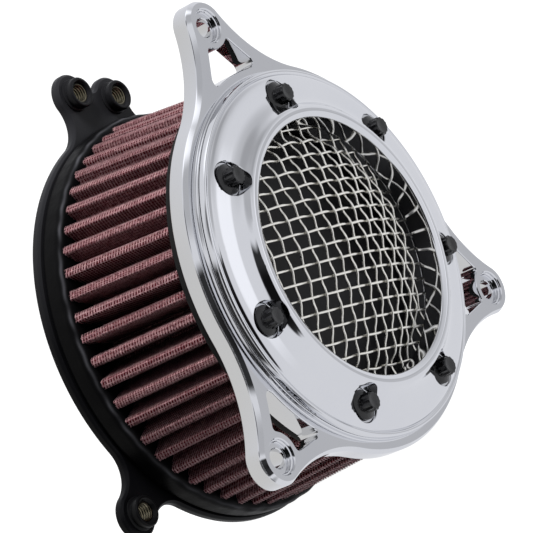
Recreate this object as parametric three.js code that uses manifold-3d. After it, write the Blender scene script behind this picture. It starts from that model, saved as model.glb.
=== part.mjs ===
// Open-element air filter for a V-twin engine: a lobed backing plate, a tapered pleated
// filter element, a chromed three-lobe front plate, and a chromed ring that clamps a
// domed wire screen. Everything is drawn standing up, z being the height above the rear
// face of the backing plate, and the whole assembly is then turned so that its front
// looks along -Y with the top lobe along +Z. Lengths are in millimetres.
import * as THREE from 'three';
import { mergeVertices } from 'three/addons/utils/BufferGeometryUtils.js';
import Module from 'manifold-3d';

const wasm = await Module();
wasm.setup();

// ---------- driving dimensions ----------
const GAP = 0.3;                       // air left between pieces that touch
const LOBE_ANGLES = [90, 210, 330];    // top, lower left, lower right
const LOBE_REACH = 103.3;              // axis of the part to the axis of a cover screw

const PLATE_R = 87.6;                  // backing plate
const PLATE_T = 4.2;
const PLATE_TIP_R = 9.7;
const PLATE_WAIST_R = 13;
const PORT_R = 25.4;                   // throat of the intake port
const PORT_LIP_TOP = 10;
const SPIGOT_R = 61.5;                 // raised rim that centres the filter element
const SPIGOT_TOP = 9;
const SPIGOT_T = 5;
const SECOND_BOSS = { reach: 97, angle: 77.1, waistR: 8 };
const THROTTLE_SCREW = { reach: 44, holeR: 3.3, faceR: 6, faceDepth: 1.6 };
const SEAL = { inner: 29.2, outer: 32, depth: 1.6, proud: 0.6 };

const STANDOFF_R = 6.5;                // threaded seats for the cover screws
const STANDOFF_TOP = 8.9;
const INSERT_R = 4.0;
const INSERT_T = 0.8;

const BASE_RING_R = 86.4;              // rubber foot of the element
const BASE_RING_TOP = 14.9;
const ELEMENT_TOP = 71.2;              // front of the element's rubber ring
const FRONT_RING_T = 3.8;
const PLEATS = 56;
const CREST_R = 83.6;                  // pleats at the foot of the element
const VALLEY_R = 67;
const TAPER = 0.945;                   // size of the pleats at the front, against the foot
const MEDIA_T = 1.6;
const HALF_CREST = 1.9;                // half widths of the flats at a crest and in a valley
const HALF_VALLEY = 1.3;
const GAUZE_T = 0.4;
const GAUZE_OFFSET = GAP + GAUZE_T;     // outer face of the outer gauze from the cotton
const CAP_R = 57.6;                    // closed cap at the front of the element

const FACE_R = 82.6;                   // front plate
const FACE_BACK = 71.6;
const FACE_TOP = 80.9;
const FACE_TIP_R = 11;
const FACE_WAIST_R = 60;
const FACE_BORE_R = 58.5;
const STEP_R = 78.1;                   // raised seat under the ring
const STEP_TOP = 82.7;
const SCREEN_SEAT_R = 62;
const SCREEN_SEAT = 80;
const COUNTERBORE_R = 7.1;              // seats of the cover screws
const SCREW_HOLE_R = 4;
const SEAT_DEPTH = 2.5;
const WINDOW_INNER_R = 81.5;            // windows in the lobes
const WINDOW_RIM_R = 10;

const BOLT_COUNT = 7;                  // ring bolts, symmetric about the lower left lobe
const BOLT_CIRCLE_R = 66;
const FIRST_BOLT = 30;
const DOME_TOP = 94.7;                  // crown of the wire screen
const SCREEN_T = 1.4;
const RING_R = 77.8;                    // trim ring
const RING_BACK = STEP_TOP + GAP;
const RECESS_R = 7.3;
const RECESS_FLOOR = 86.3;
const BOLT_TOP = 92.9;
const BOLT_END = 74;
const BOLT_SHANK_R = 3;
const BOLT_HEAD_R = 3.97;
const FLANGE_R = 6.2;
const FLANGE_T = 1.6;

// ---------- materials ----------
const finish = (color, roughness, metalness) =>
  new THREE.MeshStandardMaterial({ color, roughness, metalness });
const satinBlack = finish(0x1b1b1e, 0.45, 0.6);
const chrome = finish(0xd8dade, 0.06, 1);
const blackSteel = finish(0x161618, 0.35, 0.8);
const stainless = finish(0xd6d3c6, 0.25, 1);
const rubber = finish(0x141414, 0.7, 0);
const cotton = finish(0x6e1f2a, 0.9, 0);
const wireGauze = finish(0xa88a90, 0.4, 0.8);
const threadSteel = finish(0xb09a6a, 0.35, 1);

// ---------- solid helpers ----------
const rad = (degrees) => THREE.MathUtils.degToRad(degrees);
const polar = (reach, degrees) =>
  new THREE.Vector2(reach * Math.cos(rad(degrees)), reach * Math.sin(rad(degrees)));

// Turn a closed three.js geometry into a manifold solid, whichever way it was wound.
function solid(geometry) {
  const bare = geometry.clone();
  bare.deleteAttribute('normal');
  bare.deleteAttribute('uv');
  const welded = mergeVertices(bare, 1e-4);
  const points = welded.attributes.position;
  const index = Array.from(welded.index.array);
  let volume = 0;
  const corner = [new THREE.Vector3(), new THREE.Vector3(), new THREE.Vector3()];
  for (let i = 0; i < index.length; i += 3) {
    corner.forEach((v, k) => v.fromBufferAttribute(points, index[i + k]));
    volume += corner[0].dot(corner[1].clone().cross(corner[2]));
  }
  const kept = [];
  for (let i = 0; i < index.length; i += 3) {
    const [a, b, c] = index.slice(i, i + 3);
    if (a === b || b === c || a === c) continue;
    kept.push(a, ...(volume < 0 ? [c, b] : [b, c]));
  }
  return new wasm.Manifold(new wasm.Mesh({
    numProp: 3,
    vertProperties: new Float32Array(points.array),
    triVerts: new Uint32Array(kept),
  }));
}

// Turn a manifold solid back into a three.js geometry with flat shading.
function geometryOf(manifold) {
  const mesh = manifold.getMesh();
  const geometry = new THREE.BufferGeometry();
  const points = new THREE.BufferAttribute(new Float32Array(mesh.vertProperties), 3);
  geometry.setAttribute('position', points);
  geometry.setIndex(Array.from(mesh.triVerts));
  geometry.computeVertexNormals();
  return geometry;
}

// A closed outline of [radius, height] points turned about the z axis.
function turned(outline, segments = 36) {
  const closed = [...outline, outline[0]].map(([r, h]) => new THREE.Vector2(r, h));
  return solid(new THREE.LatheGeometry(closed, segments).rotateX(Math.PI / 2));
}

// An upright cylinder between two heights, centred on a point in plan.
function post(radius, low, high, centre = new THREE.Vector2(), segments = 18) {
  return solid(new THREE.CylinderGeometry(radius, radius, high - low, segments)
    .rotateX(Math.PI / 2)
    .translate(centre.x, centre.y, (low + high) / 2));
}

// A flat shape raised between two heights, with an optional bevel on its front edge.
function slab(shape, low, high, bevel = 0, bevelHeight = bevel, curveSegments = 4) {
  const body = solid(new THREE.ExtrudeGeometry(shape, {
    depth: high - low - bevelHeight,
    bevelEnabled: bevel > 0,
    bevelSegments: 1,
    bevelSize: bevel,
    bevelThickness: bevelHeight,
    bevelOffset: -bevel,
    curveSegments,
  }).translate(0, 0, low));
  const slack = 400;
  return body.intersect(solid(new THREE.BoxGeometry(slack, slack, slack)
    .translate(0, 0, low + slack / 2)));
}

// ---------- plan shapes ----------
// A disc with rounded lobes: each tip blends into the disc through two hollow waists.
function lobedDisc(discR, tipR, reach, waistR, angles) {
  const shape = new THREE.Shape();
  const up = ((waistR + discR) ** 2 - (waistR + tipR) ** 2 + reach ** 2) / (2 * reach);
  const across = Math.sqrt((waistR + discR) ** 2 - up ** 2);
  const leave = THREE.MathUtils.radToDeg(Math.atan2(across, up));
  const lean = THREE.MathUtils.radToDeg(Math.atan2(across, up - reach));
  angles.forEach((angle, i) => {
    const tip = polar(reach, angle);
    const before = polar(waistR + discR, angle - leave);
    const after = polar(waistR + discR, angle + leave);
    shape.absarc(before.x, before.y, waistR, rad(angle - leave + 180),
      rad(angle - lean + 180), true);
    shape.absarc(tip.x, tip.y, tipR, rad(angle - lean), rad(angle + lean), false);
    shape.absarc(after.x, after.y, waistR, rad(angle + lean + 180),
      rad(angle + leave + 180), true);
    const next = angles[(i + 1) % angles.length] + (i + 1 === angles.length ? 360 : 0);
    shape.absarc(0, 0, discR, rad(angle + leave), rad(next - leave), false);
  });
  return shape;
}

// A zigzag band, both faces of the pleats, grown or shrunk by an offset from the media.
function pleatBand(outerOffset, thickness) {
  const outline = (offset) => {
    const points = [];
    for (let i = 0; i < PLEATS; i += 1) {
      const middle = (360 / PLEATS) * i;
      const halfCrest = THREE.MathUtils.radToDeg((HALF_CREST + offset) / CREST_R);
      const halfValley = THREE.MathUtils.radToDeg((HALF_VALLEY - offset) / VALLEY_R);
      const valley = middle + 180 / PLEATS;
      points.push(polar(CREST_R + offset, middle - halfCrest));
      points.push(polar(CREST_R + offset, middle + halfCrest));
      points.push(polar(VALLEY_R + offset, valley - halfValley));
      points.push(polar(VALLEY_R + offset, valley + halfValley));
    }
    return points;
  };
  const shape = new THREE.Shape(outline(outerOffset));
  shape.holes.push(new THREE.Path(outline(outerOffset - thickness)));
  return shape;
}

// Raise a band between the two rubber rings and draw it in evenly towards the front.
function taperedBand(shape) {
  const low = BASE_RING_TOP + GAP;
  const high = ELEMENT_TOP - FRONT_RING_T - GAP;
  const geometry = new THREE.ExtrudeGeometry(shape, {
    depth: high - low, bevelEnabled: false, curveSegments: 20,
  });
  const points = geometry.attributes.position;
  for (let i = 0; i < points.count; i += 1) {
    const shrink = 1 - (1 - TAPER) * (points.getZ(i) / (high - low));
    points.setXYZ(i, points.getX(i) * shrink, points.getY(i) * shrink,
      points.getZ(i) + low);
  }
  return solid(geometry);
}

// ---------- assembly ----------
const assembly = new THREE.Group();
function add(name, manifold, material) {
  const mesh = new THREE.Mesh(geometryOf(manifold), material);
  mesh.name = name;
  assembly.add(mesh);
}

const screwAxes = LOBE_ANGLES.map((angle) => polar(LOBE_REACH, angle));
const secondBoss = polar(SECOND_BOSS.reach, SECOND_BOSS.angle);
const boltAxes = Array.from({ length: BOLT_COUNT },
  (_, i) => polar(BOLT_CIRCLE_R, FIRST_BOLT + (360 / BOLT_COUNT) * i));

// Backing plate: a cast disc with three lobes, the top one wide enough for two seats,
// a rounded port lip, a centring spigot and three holes for the throttle body screws.
const edgeRound = 1;
let plate = slab(lobedDisc(PLATE_R, PLATE_TIP_R, LOBE_REACH, PLATE_WAIST_R, LOBE_ANGLES),
  0, PLATE_T, edgeRound);
plate = plate.add(slab(lobedDisc(PLATE_R, PLATE_TIP_R, SECOND_BOSS.reach,
  SECOND_BOSS.waistR, [SECOND_BOSS.angle]), 0, PLATE_T, edgeRound));
const webMiddle = secondBoss.clone().add(screwAxes[0]).multiplyScalar(0.5);
const webRun = secondBoss.clone().sub(screwAxes[0]);
plate = plate.add(solid(new THREE.BoxGeometry(webRun.length(), 10, PLATE_T)
  .rotateZ(webRun.angle())
  .translate(webMiddle.x, webMiddle.y, PLATE_T / 2)));
const lipRound = 7;
const lip = new THREE.Path();
lip.moveTo(PORT_R, 0);
lip.lineTo(PORT_R, PORT_LIP_TOP - lipRound);
lip.absarc(PORT_R + lipRound, PORT_LIP_TOP - lipRound, lipRound, Math.PI, Math.PI / 2, true);
lip.lineTo(PORT_R + lipRound + 3, PORT_LIP_TOP);
lip.lineTo(PORT_R + lipRound + 5, PORT_LIP_TOP - 2);
lip.lineTo(PORT_R + lipRound + 5, 0);
plate = plate.subtract(post(PORT_R + lipRound, -1, PLATE_T + 1, undefined, 36));
plate = plate.add(turned(lip.getPoints(6).map((p) => [p.x, p.y])));
plate = plate.add(turned([[SPIGOT_R - SPIGOT_T, PLATE_T - 1],
  [SPIGOT_R, PLATE_T - 1], [SPIGOT_R, SPIGOT_TOP - 1], [SPIGOT_R - 1, SPIGOT_TOP],
  [SPIGOT_R - SPIGOT_T, SPIGOT_TOP]]));
for (const centre of [...screwAxes, secondBoss]) {
  plate = plate.subtract(post(INSERT_R + GAP, -1, PLATE_T + 1, centre));
}
for (const angle of LOBE_ANGLES) {
  const { reach, holeR, faceR, faceDepth } = THROTTLE_SCREW;
  const centre = polar(reach, angle);
  plate = plate.subtract(post(holeR, -1, PLATE_T + 1, centre));
  plate = plate.subtract(post(faceR, PLATE_T - faceDepth, PLATE_T + 1, centre));
}
plate = plate.subtract(turned([[SEAL.inner - GAP, -1], [SEAL.outer + GAP, -1],
  [SEAL.outer + GAP, SEAL.depth + GAP], [SEAL.inner - GAP, SEAL.depth + GAP]]));
add('backing_plate', plate, satinBlack);

// Intake seal: a square-section rubber ring in a groove of the plate's rear face.
add('intake_seal', turned([[SEAL.inner, -SEAL.proud], [SEAL.outer, -SEAL.proud],
  [SEAL.outer, SEAL.depth], [SEAL.inner, SEAL.depth]]), rubber);

// Cover standoffs: short turned seats with a chamfered rim, one on each lobe and a
// second one on the top lobe, each lined with a threaded insert.
const insertInset = 0.6;
const standoffNames = ['top_left', 'lower_left', 'lower_right', 'top_right'];
[...screwAxes, secondBoss].forEach((centre, i) => {
  const seat = turned([[INSERT_R + GAP, PLATE_T + GAP], [STANDOFF_R - 0.5, PLATE_T + GAP],
    [STANDOFF_R - 0.5, PLATE_T + GAP + 0.6], [STANDOFF_R, PLATE_T + GAP + 0.9],
    [STANDOFF_R, STANDOFF_TOP - 0.7], [STANDOFF_R - 0.7, STANDOFF_TOP],
    [INSERT_R + GAP, STANDOFF_TOP]], 20).translate(centre.x, centre.y, 0);
  add(`cover_standoff_${standoffNames[i]}`, seat, blackSteel);
  const insert = turned([[INSERT_R - INSERT_T, insertInset], [INSERT_R, insertInset],
    [INSERT_R, STANDOFF_TOP - insertInset],
    [INSERT_R - INSERT_T, STANDOFF_TOP - insertInset]], 16).translate(centre.x, centre.y, 0);
  add(`thread_insert_${standoffNames[i]}`, insert, threadSteel);
});

// Filter element: two rubber rings, the pleated cotton between them with a gauze on
// each face, and the closed cap at its front.
const baseInner = SPIGOT_R + 0.5;
add('filter_base_ring', turned([[baseInner, PLATE_T + GAP], [BASE_RING_R - 1.2, PLATE_T + GAP],
  [BASE_RING_R, PLATE_T + GAP + 1.2], [BASE_RING_R, BASE_RING_TOP - 1.8],
  [BASE_RING_R - 1.8, BASE_RING_TOP], [baseInner, BASE_RING_TOP]], 48), rubber);
add('filter_pleats', taperedBand(pleatBand(0, MEDIA_T)), cotton);
add('filter_outer_gauze', taperedBand(pleatBand(GAUZE_OFFSET, GAUZE_T)), wireGauze);
const innerGauzeR = VALLEY_R - MEDIA_T - 2 * GAP;
const innerGauzeT = 0.6;
const innerGauze = new THREE.Shape().absarc(0, 0, innerGauzeR, 0, 2 * Math.PI);
innerGauze.holes.push(
  new THREE.Path().absarc(0, 0, innerGauzeR - innerGauzeT, 0, 2 * Math.PI));
add('filter_inner_gauze', taperedBand(innerGauze), wireGauze);
const frontRingR = CREST_R * TAPER + 1.4;
add('filter_front_ring', turned([[CAP_R + GAP, ELEMENT_TOP - FRONT_RING_T],
  [frontRingR, ELEMENT_TOP - FRONT_RING_T], [frontRingR, ELEMENT_TOP - 0.8],
  [frontRingR - 0.8, ELEMENT_TOP], [CAP_R + GAP, ELEMENT_TOP]], 40), rubber);
add('filter_end_cap', turned([[0, 68.4], [30, 67.6], [50, 66.6], [CAP_R, 66],
  [CAP_R, 68.8], [50, 69.4], [30, 70.4], [0, 71]], 36), rubber);

// Front plate: a chromed disc with three tapering lobes, each with a counterbored
// screw hole and a window, a raised seat for the ring and a recess for the screen.
function windowShape() {
  const base = new THREE.Vector2(14.6, 83.2);
  const top = new THREE.Vector2(7.4, 95.2);
  const shape = new THREE.Shape();
  const floor = Math.atan2(81, 12.6);
  shape.absarc(0, 0, WINDOW_INNER_R, floor, Math.PI - floor, false);
  shape.quadraticCurveTo(-base.x - 0.6, 80.4, -base.x, base.y + 0.8);
  shape.lineTo(-top.x - 0.9, top.y - 1.4);
  shape.quadraticCurveTo(-top.x, top.y + 0.6, -top.x + 1.9, top.y - 0.4);
  const rim = Math.atan2(LOBE_REACH - top.y + 0.4, top.x - 1.9);
  shape.absarc(0, LOBE_REACH, WINDOW_RIM_R, -Math.PI + rim, -rim, false);
  shape.quadraticCurveTo(top.x, top.y + 0.6, top.x + 0.9, top.y - 1.4);
  shape.lineTo(base.x, base.y + 0.8);
  shape.quadraticCurveTo(base.x + 0.6, 80.4, 12.6, 81);
  return shape;
}
let face = slab(lobedDisc(FACE_R, FACE_TIP_R, LOBE_REACH, FACE_WAIST_R, LOBE_ANGLES),
  FACE_BACK, FACE_TOP, 1.3, 2, 4);
face = face.add(post(STEP_R, FACE_TOP - 1, STEP_TOP, undefined, 56));
face = face.subtract(post(SCREEN_SEAT_R, SCREEN_SEAT, STEP_TOP + 1, undefined, 40));
face = face.subtract(post(FACE_BORE_R, FACE_BACK - 1, STEP_TOP + 1, undefined, 40));
LOBE_ANGLES.forEach((angle, i) => {
  face = face.subtract(post(SCREW_HOLE_R, FACE_BACK - 1, FACE_TOP + 1, screwAxes[i]));
  face = face.subtract(post(COUNTERBORE_R, FACE_TOP - SEAT_DEPTH, FACE_TOP + 1, screwAxes[i]));
  face = face.subtract(slab(windowShape(), FACE_BACK - 1, FACE_TOP + 1, 0, 0, 4)
    .rotate(0, 0, angle - 90));
});
for (const centre of boltAxes) {
  face = face.subtract(post(BOLT_SHANK_R + GAP, FACE_BACK + 1, STEP_TOP + 1, centre, 12));
}
add('faceplate', face, chrome);

// Domed screen: woven wire, drawn here as a thin dished shell with a flat flange that
// lies in the front plate's recess under the ring.
const domeHeight = (r) => DOME_TOP - 4.96e-3 * r ** 2 + 0.17e-6 * r ** 4;
const domeMiddle = [0, 10, 20, 30, 38, 44, 46.5].map((r) => [r, domeHeight(r)]);
domeMiddle.push([48.4, 83.3], [49.5, 82.1], [51, 81.4], [SCREEN_SEAT_R - 0.6, 81.35]);
const shellSide = (side) => domeMiddle.map(([r, h], i) => {
  const [r0, h0] = domeMiddle[Math.max(i - 1, 0)];
  const [r1, h1] = domeMiddle[Math.min(i + 1, domeMiddle.length - 1)];
  const run = Math.hypot(r1 - r0, h1 - h0);
  const lean = i === 0 ? 0 : (h0 - h1) / run;
  const rise = i === 0 ? 1 : (r1 - r0) / run;
  return [r + (side * lean * SCREEN_T) / 2, h + (side * rise * SCREEN_T) / 2];
});
add('mesh_screen', turned([...shellSide(-1), ...shellSide(1).reverse()], 28), stainless);

// Trim ring: a chromed ring whose face sweeps up to a raised inner lip, with seven
// recesses for the bolts and a hollow behind the lip.
const ringFace = [[RING_R, RING_BACK], [RING_R, 85], [77.1, 85.7], [76, 85.8], [75.2, 85.5],
  [74.4, 86.6], [73, 87.3], [70, 87.9], [66, 88.3], [63.5, 89.3], [61, 90.9], [59.2, 92.4],
  [57.8, 93.3], [56.6, 93.6], [54.6, 92.9], [54.2, 92.3], [54.2, 90.8], [56, 88.6],
  [57.2, 85.6], [57.2, RING_BACK]];
let ring = turned(ringFace, 42);
for (const centre of boltAxes) {
  ring = ring.subtract(post(RECESS_R, RECESS_FLOOR, BOLT_TOP + 5, centre));
  ring = ring.subtract(post(BOLT_SHANK_R + GAP, RING_BACK - 1, RECESS_FLOOR + 1, centre, 12));
}
add('trim_ring', ring, chrome);

// Ring bolts: black twelve-point flange bolts.
const seatHeight = RECESS_FLOOR + GAP;
boltAxes.forEach((centre, i) => {
  const points = Array.from({ length: 24 },
    (_, k) => polar(k % 2 ? BOLT_HEAD_R * 0.9 : BOLT_HEAD_R, k * 15));
  const bolt = slab(new THREE.Shape(points), seatHeight + FLANGE_T - 0.2, BOLT_TOP, 0.4)
    .add(turned([[0, seatHeight], [FLANGE_R, seatHeight], [FLANGE_R, seatHeight + 0.9],
      [FLANGE_R - 1.8, seatHeight + FLANGE_T], [0, seatHeight + FLANGE_T]], 20))
    .add(post(BOLT_SHANK_R, BOLT_END, seatHeight + 0.2, undefined, 12));
  add(`ring_bolt_${i + 1}`, bolt.translate(centre.x, centre.y, 0), blackSteel);
});

// Stand the assembly up: its front looks along -Y and its top lobe points along +Z.
const group = new THREE.Group();
assembly.rotation.x = Math.PI / 2;
group.add(assembly);

export default group;
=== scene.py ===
# Open-element air filter for a V-twin engine, built in the order it goes together: backing
# plate, seats, filter element, faceplate, wire screen, trim ring and bolts, then the stage.
import math

import bpy
import bmesh
import numpy as np
from mathutils import Matrix, Vector
from mathutils.geometry import delaunay_2d_cdt


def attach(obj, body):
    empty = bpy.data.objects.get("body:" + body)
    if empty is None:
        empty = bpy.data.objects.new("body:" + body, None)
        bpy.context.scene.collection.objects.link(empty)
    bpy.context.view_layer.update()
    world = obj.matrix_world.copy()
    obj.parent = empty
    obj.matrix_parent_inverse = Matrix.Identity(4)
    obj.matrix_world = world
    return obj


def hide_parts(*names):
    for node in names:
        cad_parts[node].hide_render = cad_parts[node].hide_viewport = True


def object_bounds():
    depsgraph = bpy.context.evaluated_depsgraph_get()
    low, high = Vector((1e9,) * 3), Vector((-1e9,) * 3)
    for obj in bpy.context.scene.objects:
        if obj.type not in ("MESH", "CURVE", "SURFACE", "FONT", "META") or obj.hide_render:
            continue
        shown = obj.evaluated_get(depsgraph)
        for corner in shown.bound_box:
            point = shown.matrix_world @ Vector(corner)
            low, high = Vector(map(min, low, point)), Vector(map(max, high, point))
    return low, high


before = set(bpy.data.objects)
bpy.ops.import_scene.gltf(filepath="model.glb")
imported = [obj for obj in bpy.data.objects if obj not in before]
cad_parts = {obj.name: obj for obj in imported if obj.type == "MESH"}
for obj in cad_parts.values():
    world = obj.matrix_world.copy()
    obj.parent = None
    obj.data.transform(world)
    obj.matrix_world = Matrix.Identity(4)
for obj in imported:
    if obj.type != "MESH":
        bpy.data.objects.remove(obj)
cad_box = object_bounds()


# ---------------------------------------------------------------- backing plate
# The casting that carries everything: a flat disc with three lobes, the top one wide enough
# for two seats. Sand-cast aluminium, machined on both faces, powder-coated satin black.
LOBE_ANGLES = (90.0, 210.0, 330.0)
LOBE_REACH = 103.3
PLATE_R, PLATE_T, PLATE_TIP_R, PLATE_WAIST_R = 87.6, 4.2, 9.7, 13.0
SECOND_SEAT_REACH, SECOND_SEAT_ANGLE, SECOND_WAIST_R = 97.0, 77.1, 8.0
PORT_R, PORT_LIP_TOP, PORT_LIP_ROUND = 25.4, 10.0, 7.0
SPIGOT_R, SPIGOT_TOP, SPIGOT_WALL = 61.5, 9.0, 5.0
SEAT_HOLE_R = 4.3
THROTTLE_SCREW_REACH, THROTTLE_HOLE_R, THROTTLE_FACE_R = 44.0, 3.3, 6.0


def polar(reach, degrees):
    """A point in plan from its distance and angle."""
    return np.array([reach * math.cos(math.radians(degrees)),
                     reach * math.sin(math.radians(degrees))])


def arc(centre, radius, start, end, count):
    """Points on an arc, evenly spaced in angle from start to end, in degrees."""
    angle = np.radians(np.linspace(start, end, count))
    return np.asarray(centre) + radius * np.stack([np.cos(angle), np.sin(angle)], axis=1)


def waist(disc_r, tip_r, reach, waist_r):
    """The two angles, in degrees, at which a hollow round of waist_r leaves a disc and meets
    a round tip at that reach: the sides of a triangle between the three centres."""
    up = ((waist_r + disc_r) ** 2 - (waist_r + tip_r) ** 2 + reach ** 2) / (2 * reach)
    across = math.sqrt((waist_r + disc_r) ** 2 - up ** 2)
    return math.degrees(math.atan2(across, up)), math.degrees(math.atan2(across, up - reach))


def without_repeats(loop, least=0.02):
    """A closed loop with any point that nearly repeats the one before it left out."""
    step = np.linalg.norm(loop - np.roll(loop, 1, axis=0), axis=1)
    return loop[step > least]


def lobe(disc_r, tip_r, reach, waist_r, angle):
    """One lobe: the hollow that leads off the disc, the round tip, and the hollow back."""
    leave, lean = waist(disc_r, tip_r, reach, waist_r)
    before, after = polar(waist_r + disc_r, angle - leave), polar(waist_r + disc_r, angle + leave)
    return [arc(before, waist_r, angle - leave + 180, angle - lean + 180, 40),
            arc(polar(reach, angle), tip_r, angle - lean, angle + lean, 60),
            arc(after, waist_r, angle + lean + 180, angle + leave + 180, 40)]


def lobed_loop(disc_r, tip_r, reach, waist_r, angles):
    """The outline of a disc with round-tipped lobes, each blended in through two hollows."""
    leave = waist(disc_r, tip_r, reach, waist_r)[0]
    parts = []
    for angle, following in zip(angles, (*angles[1:], angles[0] + 360)):
        parts += lobe(disc_r, tip_r, reach, waist_r, angle)
        parts.append(arc((0, 0), disc_r, angle + leave, following - leave, 90))
    return without_repeats(np.concatenate(parts))


def two_seat_loop():
    """The plate's outline: the lobed disc, with a second round tip joined on to the right of
    the top one and a small hollow between the two tips."""
    leave, lean = waist(PLATE_R, PLATE_TIP_R, LOBE_REACH, PLATE_WAIST_R)
    leave2, lean2 = waist(PLATE_R, PLATE_TIP_R, SECOND_SEAT_REACH, SECOND_WAIST_R)
    first, second = polar(LOBE_REACH, 90), polar(SECOND_SEAT_REACH, SECOND_SEAT_ANGLE)
    notch_r = 3.5
    run = first - second
    half = np.linalg.norm(run) / 2
    outward = np.array([run[1], -run[0]]) / (2 * half)
    notch = (first + second) / 2 + outward * math.sqrt((PLATE_TIP_R + notch_r) ** 2 - half ** 2)
    heading = lambda a, b: math.degrees(math.atan2(*(b - a)[::-1]))
    parts = [
        arc(polar(SECOND_WAIST_R + PLATE_R, SECOND_SEAT_ANGLE - leave2), SECOND_WAIST_R,
            SECOND_SEAT_ANGLE - leave2 + 180, SECOND_SEAT_ANGLE - lean2 + 180, 30),
        arc(second, PLATE_TIP_R, SECOND_SEAT_ANGLE - lean2, heading(second, notch), 40),
        arc(notch, notch_r, heading(notch, second) + 360, heading(notch, first) + 360, 12),
        arc(first, PLATE_TIP_R, heading(first, notch), 90 + lean, 50),
        lobe(PLATE_R, PLATE_TIP_R, LOBE_REACH, PLATE_WAIST_R, 90)[2],
        arc((0, 0), PLATE_R, 90 + leave, 210 - leave, 100),
    ]
    for angle, end in ((210, 330 - leave), (330, 360 + SECOND_SEAT_ANGLE - leave2)):
        parts += lobe(PLATE_R, PLATE_TIP_R, LOBE_REACH, PLATE_WAIST_R, angle)
        parts.append(arc((0, 0), PLATE_R, angle + leave, end, 100))
    return without_repeats(np.concatenate(parts))


def grid(points, close_rows=False, close_columns=False):
    """Quads between neighbouring points of a (rows, columns, 3) array, with the last row or
    column joined to the first where that is asked."""
    index = np.arange(points.shape[0] * points.shape[1]).reshape(points.shape[:2])
    if close_rows:
        index = np.vstack([index, index[:1]])
    if close_columns:
        index = np.hstack([index, index[:, :1]])
    corners = [index[:-1, :-1], index[1:, :-1], index[1:, 1:], index[:-1, 1:]]
    return points.reshape(-1, 3), np.stack(corners, axis=-1).reshape(-1, 4)


def around(radius, angle, height, centre=(0.0, 0.0)):
    """Points at a radius, an angle and a height about an upright axis through centre."""
    return np.stack(np.broadcast_arrays(centre[0] + radius * np.cos(angle),
                                        centre[1] + radius * np.sin(angle), height), axis=-1)


def turned(outline, segments=128, centre=(0.0, 0.0), closed=True):
    """A surface of revolution: each [radius, height] of the outline is carried round the
    upright axis through centre, at that many even angles or at a given array of them. A
    closed outline makes a ring; an open one ends on the axis or on another face."""
    outline = np.asarray(outline, float)
    angle = segments
    if isinstance(segments, int):
        angle = np.linspace(0, 2 * math.pi, segments, endpoint=False)
    return grid(around(outline[:, :1], angle, outline[:, 1:], centre), closed, True)


def outward_of(loop):
    """The unit normal of a closed anticlockwise plan loop at each point, pointing out."""
    along = np.roll(loop, -1, axis=0) - np.roll(loop, 1, axis=0)
    along /= np.linalg.norm(along, axis=1, keepdims=True)
    return np.stack([along[:, 1], -along[:, 0]], axis=1)


def carried(loop, profile):
    """A wall: a profile of [offset outward, height] carried round a closed plan loop."""
    normal = outward_of(loop)
    rows = [np.column_stack([loop + normal * offset, np.full(len(loop), height)])
            for offset, height in profile]
    return grid(np.stack(rows), close_columns=True)


def offset_loop(loop, offset):
    return loop + outward_of(loop) * offset


def circle(centre, radius, count=64):
    return arc(centre, radius, 0, 360, count + 1)[:-1]


def inside(points, loop):
    """Which points lie inside a closed loop, by counting the edges that a level line from
    each point crosses."""
    x, y = points[:, :1], points[:, 1:]
    ax, ay = loop[:, 0], loop[:, 1]
    bx, by = np.roll(ax, -1), np.roll(ay, -1)
    spans = (ay > y) != (by > y)
    rise = np.where(np.abs(by - ay) < 1e-12, 1e-12, by - ay)
    return (spans & (x < ax + (y - ay) * (bx - ax) / rise)).sum(axis=1) % 2 == 1


def flat(loops, height):
    """A level face inside the first loop and outside the others, cut into triangles."""
    points = np.concatenate(loops)
    edges, start = [], 0
    for loop in loops:
        n = len(loop)
        edges += [(start + k, start + (k + 1) % n) for k in range(n)]
        start += n
    found = delaunay_2d_cdt([Vector(p) for p in points], edges, [], 1, 1e-7)
    plan = np.array([tuple(p) for p in found[0]])
    faces = np.array(found[2])
    middle = plan[faces].mean(axis=1)
    keep = inside(middle, loops[0])
    for loop in loops[1:]:
        keep &= ~inside(middle, loop)
    return np.column_stack([plan, np.full(len(plan), height)]), faces[keep]


def soften(outline, radius=0.4, steps=4, closed=True):
    """An outline with each corner rounded: a quadratic curve from a point short of the corner
    on one side to a point past it on the other."""
    points = np.asarray(outline, float)
    before, after = np.roll(points, 1, axis=0), np.roll(points, -1, axis=0)
    made = []
    for k, point in enumerate(points):
        if not closed and k in (0, len(points) - 1):
            made.append(point[None])
            continue
        back, on = before[k] - point, after[k] - point
        back_len, on_len = np.linalg.norm(back), np.linalg.norm(on)
        a = point + back / back_len * min(radius, 0.45 * back_len)
        b = point + on / on_len * min(radius, 0.45 * on_len)
        t = np.linspace(0, 1, steps + 1)[:, None]
        made.append((1 - t) ** 2 * a + 2 * t * (1 - t) * point + t ** 2 * b)
    return np.concatenate(made)


MM = 0.001
MAP = "map"


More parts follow.
